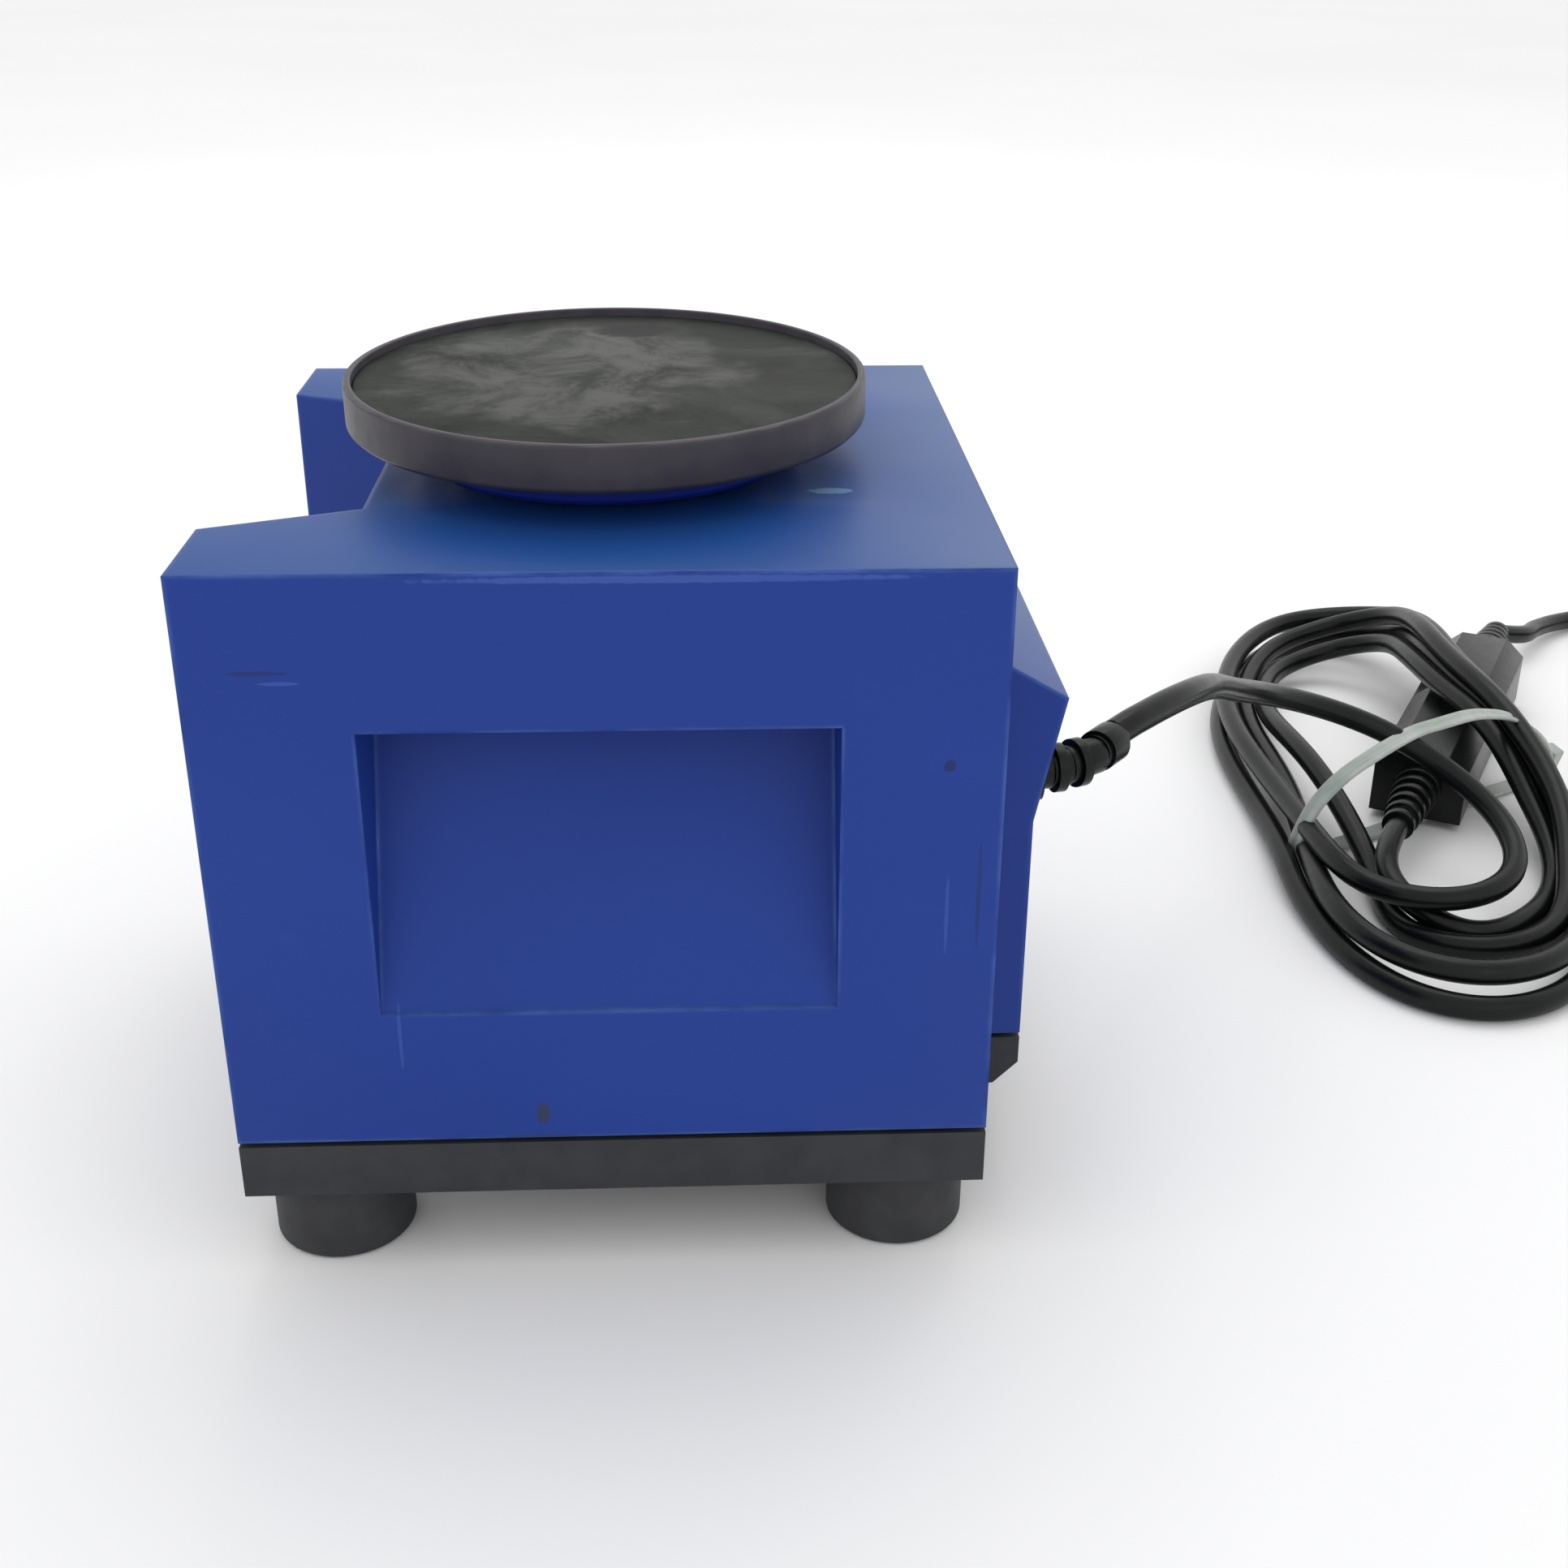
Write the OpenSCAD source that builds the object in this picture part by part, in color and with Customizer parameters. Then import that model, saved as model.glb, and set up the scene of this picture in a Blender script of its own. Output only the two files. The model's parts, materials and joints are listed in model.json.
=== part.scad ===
// Bench-top orbital shaker with a round rubber-lined dish.
// The front, with the controls, faces -Y. The mains lead leaves at the back, towards +Y.
// The two grip sides face +X and -X. Z is zero at the soles of the feet.

/* [Housing] */
// Size across the two grip sides
housing_width = 157; // [150:1:164]
// Length of the side cheeks, front to back
cheek_length = 150; // [146:1:154]
// Height of the blue shell
shell_height = 119; // [116:1:124]
// How far the rear block stands out behind the cheeks
rear_reach = 18; // [16:1:20]
// Width of the rear block
rear_block_width = 86.4; // [80:0.2:90]

/* [Grips] */
// Length of a grip recess
grip_length = 88.6; // [84:0.2:92]
// Height of a grip recess
grip_height = 59.4; // [54:0.2:60]
// Depth of a grip recess under its roof
grip_depth = 23; // [20:0.5:24]

/* [Base] */
// Height of the base tray's side
tray_height = 11.8; // [11:0.1:14]
// Gap between the tray and the shell
seam = 1.1; // [0.6:0.1:1.5]
// Height of a rubber foot
foot_height = 18.5; // [17:0.5:20]
// Diameter of a rubber foot
foot_d = 29; // [26:0.5:30]

/* [Dish] */
// Outer diameter of the dish
dish_d = 107.2; // [104:0.2:110]
// Height of the dish's side
dish_height = 9.6; // [9:0.1:11]
// Diameter of the hub under the dish
hub_d = 80; // [76:1:84]
// Distance that the drive pin stands off the motor's axis
throw = 2.25; // [1.5:0.25:2.5]

/* [Controls] */
// Diameter of the speed knob
knob_d = 32; // [28:1:34]
// Length of the speed knob
knob_length = 15; // [12:1:16]

/* [Cord] */
// Diameter of the mains cord
cord_d = 6.5; // [6:0.1:7]

/* [Hidden] */

blue = "royalblue";
dark_grey = "dimgray";
rubber_black = "#2c2c2c";
steel = "silver";

wall = 3;
eps = 0.01;
half_w = housing_width / 2;
half_block = rear_block_width / 2;
total_length = cheek_length + rear_reach;
front_y = -total_length / 2;
back_y = front_y + cheek_length;
beak_y = total_length / 2;
axis_y = front_y + cheek_length / 2;

tray_z = foot_height;
tray_top = tray_z + tray_height;
shell_z = tray_top + seam;
top_z = shell_z + shell_height;

// the notch between the two cheeks, at the front
notch_front_half = half_w - 27;
notch_back_half = half_w - 39;
notch_y = front_y + 29;
notch_slope = (notch_front_half - notch_back_half) / (notch_y - front_y);
notch_shift = sqrt(1 + notch_slope * notch_slope) - notch_slope;

// the rear block's profile
block_y = beak_y - 5.7;
block_knee_z = top_z - 67.4;
block_ridge_z = top_z - 39.8;
block_top_z = top_z - 29.4;

// grip recesses
grip_y = axis_y;
grip_top = top_z - 30.4;
grip_foot = 0.7;

// outline of the housing seen from above, moved inwards by inset
function outline(inset, rear_y) = [
    [notch_front_half + notch_shift * inset, front_y + inset],
    [half_w - inset, front_y + inset],
    [half_w - inset, back_y - inset],
    [half_block - inset, back_y - inset],
    [half_block - inset, rear_y - inset],
    [inset - half_block, rear_y - inset],
    [inset - half_block, back_y - inset],
    [inset - half_w, back_y - inset],
    [inset - half_w, front_y + inset],
    [-notch_front_half - notch_shift * inset, front_y + inset],
    [-notch_back_half - notch_shift * inset, notch_y + inset],
    [notch_back_half + notch_shift * inset, notch_y + inset]];

module prism(z0, z1, inset, rear_y) {
    translate([0, 0, z0]) linear_extrude(z1 - z0) polygon(outline(inset, rear_y));
}

// a profile drawn in Y and Z, extruded along X about the middle
module along_x(length) {
    rotate([90, 0, 90]) linear_extrude(length, center = true) children();
}

// a profile drawn in X and Z, extruded along Y about y
module along_y(length, y) {
    translate([0, y, 0]) rotate([90, 0, 0]) linear_extrude(length, center = true) children();
}

module disc(r, z0, z1, x = 0, y = axis_y) {
    translate([x, y, z0]) cylinder(r = r, h = z1 - z0, $fn = 96);
}

module tube(r_out, r_in, z0, z1, x = 0, y = axis_y) {
    difference() {
        disc(r_out, z0, z1, x, y);
        disc(r_in, z0 - 1, z1 + 1, x, y);
    }
}

// places children at the four corners of a rectangle about the drive axis
module corners(dx, dy) {
    for (sx = [-1, 1], sy = [-1, 1]) translate([sx * dx, axis_y + sy * dy, 0]) children();
}

// a screw whose head sits at seat_z, on the side away from its tip, with a hexagon key recess
module screw(seat_z, tip_z, head_r, shank_r, head_h, key_r) {
    up = tip_z > seat_z;
    head_z = up ? seat_z - head_h : seat_z;
    key_z = up ? head_z - 1 : head_z + head_h * 0.4;
    difference() {
        union() {
            translate([0, 0, head_z]) cylinder(r = head_r, h = head_h, $fn = 36);
            translate([0, 0, min(seat_z, tip_z)]) cylinder(r = shank_r, h = abs(tip_z - seat_z), $fn = 36);
        }
        translate([0, 0, key_z]) cylinder(r = key_r, h = 1 + head_h * 0.6, $fn = 6);
    }
}

// ---------------------------------------------------------------- housing
module rear_block_profile(inset, foot) {
    polygon([
        [back_y - 8, foot],
        [block_y - inset, foot],
        [block_y - inset, block_knee_z + inset * 0.1],
        [beak_y - inset * 1.1, block_ridge_z - inset * 0.4],
        [back_y - inset, block_top_z - inset * 1.15],
        [back_y - 8, block_top_z - inset * 1.15]]);
}

module grip_wedge(side, grow) {
    x_face = side * (half_w + 1);
    x_roof = side * (half_w - grip_depth - grow);
    x_foot = side * (half_w - grip_foot - grow);
    along_y(grip_length + 2 * grow, grip_y)
        polygon([[x_face, grip_top + grow],
            [x_roof, grip_top + grow],
            [x_foot, grip_top - grip_height - grow],
            [x_face, grip_top - grip_height - grow]]);
}

foot_dx = half_w - 17;
foot_dy = cheek_length / 2 - 16.5;
screw_r = 2;
boss_r = 5;
boss_top = shell_z + 26;
top_opening_r = 31;
gland_x = 29;
gland_z = block_knee_z + 5.3;
gland_y = block_y + (gland_z - block_knee_z) * (beak_y - block_y) / (block_ridge_z - block_knee_z);
gland_hole_r = 4.6;

module upper_housing() {
    color(blue) difference() {
        union() {
            difference() {
                union() {
                    prism(shell_z, top_z, 0, back_y + eps);
                    along_x(rear_block_width) rear_block_profile(0, shell_z);
                }
                difference() {
                    union() {
                        prism(shell_z - 1, top_z - wall, wall, back_y + eps);
                        along_x(rear_block_width - 2 * wall) rear_block_profile(wall, shell_z - 1);
                    }
                    for (side = [-1, 1]) grip_wedge(side, wall);
                }
                for (side = [-1, 1]) grip_wedge(side, 0);
            }
            corners(foot_dx, foot_dy) translate([0, 0, shell_z + 4.3])
                cylinder(r = boss_r, h = boss_top - shell_z - 4.3, $fn = 48);
            for (sx = [-1, 1], sy = [-1, 1])
                translate([sx > 0 ? foot_dx : -half_w + 1, axis_y + sy * foot_dy - 1, shell_z + 4.3])
                    cube([half_w - foot_dx - 1, 2, boss_top - shell_z - 4.3]);
        }
        disc(top_opening_r, top_z - 10, top_z + 1);
        corners(foot_dx, foot_dy) cylinder(r = screw_r + 0.05, h = boss_top - 3, $fn = 36);
        for (opening = [[0, knob_z, 5], [lamp_x, lamp_z, 2.6]])
            translate([opening[0], notch_y, opening[1]]) rotate([90, 0, 0])
                cylinder(r = opening[2], h = 20, center = true, $fn = 48);
        translate([switch_x - 6.8, notch_y - 5, switch_z - 9.8]) cube([13.6, 15, 19.6]);
        translate([gland_x, gland_y, gland_z]) rotate([-90, 0, 0])
            cylinder(r = gland_hole_r, h = 20, center = true, $fn = 48);
    }
}

tray_chamfer = 5.4;

module base_tray() {
    lip_top = shell_z + 4;
    color(dark_grey) difference() {
        union() {
            prism(tray_z, tray_top, 0, block_y);
            prism(tray_z + 1, lip_top, wall + 0.3, block_y);
        }
        difference() {
            prism(tray_z + wall, lip_top + 1, wall + 2.3, block_y);
            corners(foot_dx, foot_dy) cylinder(r = boss_r + 1, h = 99, $fn = 48);
        }
        along_x(rear_block_width + 2) polygon([
            [block_y - tray_chamfer, tray_z - eps],
            [block_y + 1, tray_z - eps],
            [block_y + 1, tray_z + tray_chamfer + 1]]);
        corners(foot_dx, foot_dy) cylinder(r = screw_r + 0.2, h = lip_top + 5, $fn = 36);
        corners(post_dx, post_dy) {
            cylinder(r = 2.7, h = lip_top, $fn = 36);
            cylinder(r = 5, h = tray_z + 1.6, $fn = 36);
        }
    }
}

module foot(sx, sy) {
    color(rubber_black) translate([sx * foot_dx, axis_y + sy * foot_dy, 0]) difference() {
        rotate_extrude($fn = 96) polygon([[0, 0], [foot_d / 2 - 1, 0], [foot_d / 2, 1],
            [foot_d / 2, foot_height - 0.6], [foot_d / 2 - 0.6, foot_height], [0, foot_height]]);
        translate([0, 0, -1]) cylinder(r = 6.5, h = 8, $fn = 48);
        cylinder(r = screw_r + 0.2, h = foot_height + 1, $fn = 36);
    }
}

module foot_front_left() foot(-1, -1);
module foot_front_right() foot(1, -1);
module foot_rear_left() foot(-1, 1);
module foot_rear_right() foot(1, 1);

module foot_washers() {
    color(steel) corners(foot_dx, foot_dy) difference() {
        translate([0, 0, 6]) cylinder(r = 6, h = 1, $fn = 48);
        cylinder(r = screw_r + 0.2, h = 9, $fn = 36);
    }
}

module foot_screws() {
    color(steel) corners(foot_dx, foot_dy) screw(6, boss_top - 6, 3.8, screw_r, 3, 1.7);
}

// ---------------------------------------------------------------- motor unit
post_dx = 38;
post_dy = 36;
ballast_z = tray_z + wall;
ballast_h = 12;
post_z = ballast_z + ballast_h;
plate_z = top_z - 32.4;
plate_h = 4;
plate_top = plate_z + plate_h;
can_r = 32;
can_z = plate_z - 58;
flange_r = 38;
motor_screw_r = 35;
shaft_r = 4;
bearing_r = 11;
bearing_h = 7;

module ballast_plate() {
    color("gray") difference() {
        translate([-46, notch_y + 6, ballast_z]) cube([92, 109, ballast_h]);
        corners(post_dx, post_dy) cylinder(r = 2.7, h = 60, $fn = 36);
    }
}

module standoffs() {
    color(steel) corners(post_dx, post_dy) difference() {
        translate([0, 0, post_z]) cylinder(r = 5, h = plate_z - post_z, $fn = 48);
        translate([0, 0, post_z - 1]) cylinder(r = 2.55, h = 13, $fn = 36);
        translate([0, 0, plate_z - 12]) cylinder(r = 2.05, h = 13, $fn = 36);
    }
}

module base_screws() {
    color(steel) corners(post_dx, post_dy) screw(tray_z + 1.6, post_z + 10, 4.5, 2.5, 1.6, 1.8);
}

module motor_plate() {
    color(steel) difference() {
        union() {
            translate([-46, axis_y - 42, plate_z]) cube([92, 84, plate_h]);
            disc(16, plate_z - 5, plate_z + 1);
        }
        disc(bearing_r, plate_z - 4, plate_top + 1);
        disc(bearing_r - 2, plate_z - 6, plate_top);
        corners(post_dx, post_dy) cylinder(r = 2.2, h = plate_top + 1, $fn = 36);
        for (a = [45 : 90 : 315]) translate([motor_screw_r * cos(a), axis_y + motor_screw_r * sin(a), 0])
            cylinder(r = 1.7, h = plate_top + 1, $fn = 36);
    }
}

module plate_screws() {
    color(steel) corners(post_dx, post_dy) screw(plate_top, plate_z - 10, 3.5, 2, 3, 1.6);
}

module motor_can() {
    color("gray") difference() {
        union() {
            disc(can_r, can_z, plate_z);
            disc(flange_r, plate_z - 3, plate_z);
        }
        disc(can_r - 2, can_z + 9, plate_z + 1);
        disc(bearing_r, can_z + 2, can_z + 10);
        disc(bearing_r - 3, can_z - 1, can_z + 3);
        for (a = [45 : 90 : 315]) translate([motor_screw_r * cos(a), axis_y + motor_screw_r * sin(a), 0])
            cylinder(r = 1.55, h = plate_top + 1, $fn = 36);
    }
}

module motor_stator() {
    color("peru") tube(can_r - 2, 16.5, can_z + 12, plate_z - 10);
}

module motor_screws() {
    color(steel) for (a = [45 : 90 : 315])
        translate([motor_screw_r * cos(a), axis_y + motor_screw_r * sin(a), 0])
            screw(plate_top, plate_z - 3, 2.8, 1.5, 2.2, 1.2);
}

module lower_bearing() {
    color(steel) tube(bearing_r, shaft_r + 0.03, can_z + 2, can_z + 2 + bearing_h);
}

module upper_bearing() {
    color(steel) tube(bearing_r, shaft_r + 0.03, plate_z - 4, plate_z - 4 + bearing_h);
}

module motor_rotor() {
    color("darkgray") tube(16, shaft_r, can_z + 12, plate_z - 10);
}

web_z = plate_top + 12;
hub_z = top_z + 0.6;
dish_z = hub_z + 8.2;
hub_top = dish_z;
pin_x = throw;
lean = 2;
pin_top = hub_z + 4;

module drive_shaft() {
    color(steel) union() {
        disc(shaft_r, can_z + 3, web_z + 1);
        disc(9, web_z, web_z + 3);
        disc(shaft_r, web_z + 2, pin_top, pin_x);
    }
}

module counterweight() {
    color("goldenrod") difference() {
        union() {
            disc(8, plate_top + 2, web_z);
            intersection() {
                disc(17, plate_top + 2, web_z);
                translate([-40, axis_y - 20, 0]) cube([40, 40, 300]);
            }
        }
        disc(shaft_r, plate_top, web_z + 1);
        translate([0, axis_y, plate_top + 7]) rotate([0, -90, 0]) cylinder(r = 1.55, h = 30, $fn = 36);
    }
}

module counterweight_screw() {
    color("dimgray") translate([-shaft_r - 0.1, axis_y, plate_top + 7]) rotate([0, -90, 0]) difference() {
        cylinder(r = 1.5, h = 8, $fn = 36);
        translate([0, 0, 6]) cylinder(r = 0.8, h = 3, $fn = 6);
    }
}

// rubber posts that stop the platform from turning: necked in the middle, so that they flex
module flexible_posts() {
    h = hub_z - plate_top;
    color(rubber_black) for (a = [90 : 120 : 330])
        translate([pin_x / 2 + 23 * cos(a), axis_y + 23 * sin(a), plate_top])
            rotate_extrude($fn = 48) polygon([[0, 0], [4, 0], [4, 5], [2.6, 9],
                [2.6, h - 9], [4, h - 5], [4, h], [0, h]]);
}

// ---------------------------------------------------------------- platform
module eccentric_bearing() {
    color(steel) tube(bearing_r, shaft_r + 0.03, hub_z - 9, hub_z - 2, pin_x);
}

pad_up = 4.4;
pad_h = 3.6;
rim = 1.7;
dish_bolt_r = 28;
hub_up = 6.8;

// the dish and the plate of the hub sit two degrees out of level, low on the +X side
module leaning() {
    translate([pin_x, axis_y, dish_z]) rotate([0, lean, 0]) children();
}

module dish_bolts() {
    for (a = [30 : 120 : 270]) translate([dish_bolt_r * cos(a), dish_bolt_r * sin(a), 0]) children();
}

module platform_hub() {
    color(blue) difference() {
        union() {
            leaning() rotate_extrude($fn = 128) polygon([[0, -hub_up], [hub_d / 2 - 1.2, -hub_up],
                [hub_d / 2, 1.2 - hub_up], [hub_d / 2, 0], [0, 0]]);
            disc(31.5, hub_z, hub_z + 3.5, pin_x);
            disc(15, hub_z - 10, hub_z + 1, pin_x);
        }
        disc(bearing_r, hub_z - 11, hub_z - 2, pin_x);
        disc(6, hub_z - 3, hub_z + 5, pin_x);
        leaning() dish_bolts() translate([0, 0, -20]) cylinder(r = 2.02, h = 40, $fn = 36);
    }
}

module dish() {
    color(dark_grey) leaning() difference() {
        rotate_extrude($fn = 180) polygon([[0, 0], [dish_d / 2 - 1, 0], [dish_d / 2, 1],
            [dish_d / 2, dish_height - 0.5], [dish_d / 2 - 0.5, dish_height],
            [dish_d / 2 - rim, dish_height], [dish_d / 2 - rim, pad_up], [0, pad_up]]);
        dish_bolts() {
            translate([0, 0, -1]) cylinder(r = 2.2, h = 20, $fn = 36);
            translate([0, 0, 1.6]) cylinder(r = 4.2, h = 20, $fn = 36);
        }
    }
}

module dish_pad() {
    color(rubber_black) leaning() translate([0, 0, pad_up])
        cylinder(r = dish_d / 2 - rim - 0.1, h = pad_h, $fn = 180);
}

module dish_screws() {
    color(steel) leaning() dish_bolts() screw(1.6, -6.4, 4, 2, 2.4, 1.5);
}

// ---------------------------------------------------------------- controls
knob_z = top_z - 46;
lamp_x = 20;
lamp_z = top_z - 88;
switch_x = -20;
switch_z = lamp_z;
panel_t = 2;
panel_y = notch_y - panel_t;
spindle_r = 3;

module control_panel() {
    color(dark_grey) difference() {
        translate([-34, panel_y, top_z - 108]) cube([68, panel_t, 98]);
        translate([0, panel_y, knob_z]) rotate([90, 0, 0]) cylinder(r = 5, h = 9, center = true, $fn = 48);
        translate([lamp_x, panel_y, lamp_z]) rotate([90, 0, 0])
            cylinder(r = 2.6, h = 9, center = true, $fn = 48);
        translate([switch_x - 6.8, panel_y - 5, switch_z - 9.8]) cube([13.6, 15, 19.6]);
    }
}

module speed_knob() {
    grips = 18;
    color(rubber_black) translate([0, panel_y - 0.8, knob_z]) rotate([90, 0, 0]) rotate(140) difference() {
        union() {
            cylinder(r = knob_d / 2, h = 3, $fn = 96);
            translate([0, 0, 2]) cylinder(r = knob_d / 2 - 2, h = knob_length - 2, $fn = 96);
        }
        for (i = [1 : grips - 1]) rotate(90 + i * 360 / grips)
            translate([knob_d / 2 - 1.4, 0, 4]) cylinder(r = 1.1, h = knob_length, $fn = 24);
        translate([-0.6, knob_d / 2 - 9, knob_length - 0.8]) cube([1.2, 10, 2]);
        translate([0, 0, -1]) cylinder(r = spindle_r, h = 12, $fn = 48);
    }
}

module knob_shaft() {
    color(steel) translate([0, notch_y + 8, knob_z]) rotate([90, 0, 0])
        cylinder(r = spindle_r, h = 18, $fn = 48);
}

module speed_control() {
    color("darkslategray") translate([0, notch_y, knob_z]) difference() {
        union() {
            translate([0, 9.8 + wall, 0]) rotate([90, 0, 0]) cylinder(r = 8, h = 9.8, $fn = 48);
            translate([0, wall + 1, 0]) rotate([90, 0, 0]) cylinder(r = 4.8, h = wall + 1 + panel_t + 0.4, $fn = 48);
        }
        translate([0, 8.2, 0]) rotate([90, 0, 0]) cylinder(r = spindle_r + 0.04, h = 20, $fn = 48);
    }
}

rocker_r = 8.2;
rocker_pivot_y = panel_y + 3.4;
rocker_tilt = 11;

module switch_frame() {
    color(rubber_black) translate([switch_x, 0, switch_z]) difference() {
        union() {
            translate([-8, panel_y - 1.6, -11]) cube([16, 1.6, 22]);
            translate([-6.6, panel_y - 1, -9.6]) cube([13.2, 15, 19.2]);
        }
        translate([-5.6, rocker_pivot_y, 0]) rotate([0, 90, 0]) cylinder(r = rocker_r + 0.3, h = 11.2, $fn = 96);
        translate([-6.3, rocker_pivot_y, 0]) rotate([0, 90, 0]) cylinder(r = 1.35, h = 12.6, $fn = 48);
    }
}

module power_rocker() {
    color("firebrick") translate([switch_x, rocker_pivot_y, switch_z]) rotate([rocker_tilt, 0, 0]) union() {
        rotate([90, 0, 90]) linear_extrude(10.8, center = true) intersection() {
            circle(r = rocker_r, $fn = 96);
            polygon([[-5.6, 0], [-7.6, 6.5], [3, 9], [3, -9], [-7.6, -6.5]]);
        }
        rotate([0, 90, 0]) cylinder(r = 1.3, h = 12.2, center = true, $fn = 48);
    }
}

module power_lamp() {
    color("limegreen") translate([lamp_x, notch_y + 6, lamp_z]) rotate([90, 0, 0]) union() {
        cylinder(r = 2.5, h = 6 + panel_t + 1, $fn = 48);
        translate([0, 0, 6 + panel_t + 1]) intersection() {
            sphere(r = 2.5, $fn = 48);
            cylinder(r = 3, h = 3, $fn = 48);
        }
    }
}

board_y = 46;
board_z = post_z + 14;

module control_board() {
    color("darkgreen") translate([-34, board_y, board_z]) cube([68, 1.6, 58]);
}

module heat_sink() {
    color(steel) translate([-30, board_y + 1.6, board_z + 28]) difference() {
        cube([26, 14, 24]);
        for (x = [3 : 5 : 23]) translate([x, 4, -1]) cube([2.4, 20, 30]);
    }
}

module capacitor() {
    color("goldenrod") translate([14, board_y + 1.6, board_z + 22]) rotate([-90, 0, 0])
        cylinder(r = 9, h = 20, $fn = 48);
}

module terminal_block() {
    color("white") translate([2, board_y - 12, board_z + 4]) difference() {
        cube([28, 12, 12]);
        for (x = [4.7 : 9.3 : 24]) translate([x, 5, 4]) cylinder(r = 2.4, h = 20, $fn = 36);
        for (x = [4.7 : 9.3 : 24]) translate([x, 7, 5]) rotate([90, 0, 0]) cylinder(r = 1.9, h = 20, $fn = 36);
    }
}

module board_bracket() {
    color(steel) for (x = [-31, 8]) {
        translate([x, board_y + 1.6, post_z]) cube([6, 1.5, 22]);
        translate([x, board_y + 1.6, post_z]) cube([6, 12, 1.5]);
    }
}

// ---------------------------------------------------------------- cord
// the strain relief bends to one side, in ribs that shrink towards the cord
relief_turn = 60;
relief_length = 24.5;
relief_r = relief_length * 180 / (PI * relief_turn);
relief_rise = 3;
function relief_at(t) = [
    gland_x - relief_r * (1 - cos(t * relief_turn)),
    gland_y + relief_r * sin(t * relief_turn),
    gland_z + relief_rise * t * t];

module cord_gland() {
    core_r = cord_d / 2 + 0.5;
    color(rubber_black) union() {
        translate([gland_x, gland_y - 7.4, gland_z]) rotate([-90, 0, 0]) {
            cylinder(r = 6, h = 3, $fn = 48);
            cylinder(r = gland_hole_r - 0.1, h = 9.4, $fn = 48);
        }
        difference() {
            translate([gland_x, gland_y - 1, gland_z]) rotate([-90, 0, 0]) cylinder(r = 6.4, h = 3.4, $fn = 48);
            upper_housing_rear_plane();
        }
        for (i = [0 : 5]) translate(relief_at(i / 6)) rotate([-90, 0, relief_turn * (i + 0.5) / 6])
            cylinder(r = core_r + 0.5 - 0.08 * i, h = relief_length / 6 + 0.35, $fn = 32);
        for (t = [0.2, 0.4]) translate(relief_at(t)) rotate([-90, 0, relief_turn * t])
            cylinder(r = 5.3, h = 2.2, $fn = 48);
        translate(relief_at(0.7)) rotate([-90, 0, relief_turn * 0.85]) cylinder(r = 4.6, h = 6.5, $fn = 48);
    }
}

// the solid wall in front of the gland's flange
module upper_housing_rear_plane() {
    along_x(rear_block_width) polygon([
        [block_y - 30, shell_z],
        [block_y, shell_z],
        [block_y, block_knee_z],
        [beak_y, block_ridge_z],
        [beak_y - 30, block_ridge_z]]);
}

module cord_clamp() {
    color("dimgray") difference() {
        translate([gland_x - 8, board_y + 7, post_z]) cube([16, 7, 12]);
        translate([gland_x, board_y + 20, post_z + 7]) rotate([90, 0, 0])
            cylinder(r = cord_d / 2, h = 20, $fn = 36);
    }
}

// a tube swept along a list of points
function unit(v) = v / norm(v);
function tangent(p, i) = unit(p[min(i + 1, len(p) - 1)] - p[max(i - 1, 0)]);
function side_of(t) = unit(cross(t, [0, 0, 1]));
function bezier(a, b, c, d, t) = a * pow(1 - t, 3) + b * 3 * t * pow(1 - t, 2)
    + c * 3 * t * t * (1 - t) + d * t * t * t;
function smooth(p, i, t) = bezier(p[i],
    p[i] + (p[i + 1] - p[max(i - 1, 0)]) / 6,
    p[i + 1] - (p[min(i + 2, len(p) - 1)] - p[i]) / 6,
    p[i + 1], t);

module swept(points, r, sides = 10, steps = 1) {
    fine = [for (i = [0 : len(points) - 2], s = [0 : steps - 1]) smooth(points, i, s / steps),
        points[len(points) - 1]];
    rings = len(fine);
    verts = [for (i = [0 : rings - 1]) let (t = tangent(fine, i), u = side_of(t), v = cross(u, t))
        for (k = [0 : sides - 1]) fine[i] + r * (cos(k * 360 / sides) * u + sin(k * 360 / sides) * v)];
    caps = [[for (k = [0 : sides - 1]) k], [for (k = [sides - 1 : -1 : 0]) (rings - 1) * sides + k]];
    walls = [for (i = [0 : rings - 2], k = [0 : sides - 1]) let (n = (k + 1) % sides)
        [i * sides + k, (i + 1) * sides + k, (i + 1) * sides + n, i * sides + n]];
    polyhedron(points = verts, faces = concat(caps, walls), convexity = 10);
}

coil_h = 17;
coil_hump_h = 35;
strand_r = cord_d / 2;

// middle of the coil's outermost turn: right run, front bend, left run, rear bend
coil_ring = [[-78, 263], [-52, 257], [-28, 246], [-7, 230], [3, 209], [-3, 188], [-24, 177],
    [-52, 175], [-85, 178], [-115, 180], [-145, 178], [-178, 178], [-212, 186], [-245, 202],
    [-271, 222], [-286, 243], [-284, 259], [-265, 266], [-234, 261], [-198, 256], [-162, 256],
    [-130, 262], [-104, 266]];

// from the strain relief, in an arch over the coil's near run and down into its far run
lead_route = [relief_at(1), [5.5, 113, 93.8], [-8, 124, 91], [-27, 132.5, 84.5], [-46, 140.5, 76],
    [-65, 148.5, 67.5], [-84, 159, 59], [-98, 169.5, 52.5], [-104, 181, 47.8], [-106, 194, 43.4],
    [-105, 206, 38.8], [-101, 217, 33.3], [-94, 228, 27.5], [-83, 238, 22], [-69, 241, 17.5],
    [-55, 235, 14.5], [-44, 225, 13.8]];

// from the coil to the in-line plug's strain relief
tail_route = [[-43, 218, 3.6], [-43.6, 210.5, 4.5], [-47, 203.8, 7], [-53, 199, 9.4], [-60, 196.7, 11.2],
    [-67, 196.9, 12.3], [-73, 199.3, 12.9], [-79, 202.6, 13], [-85.5, 206.3, 13], [-92, 210, 13]];

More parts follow.
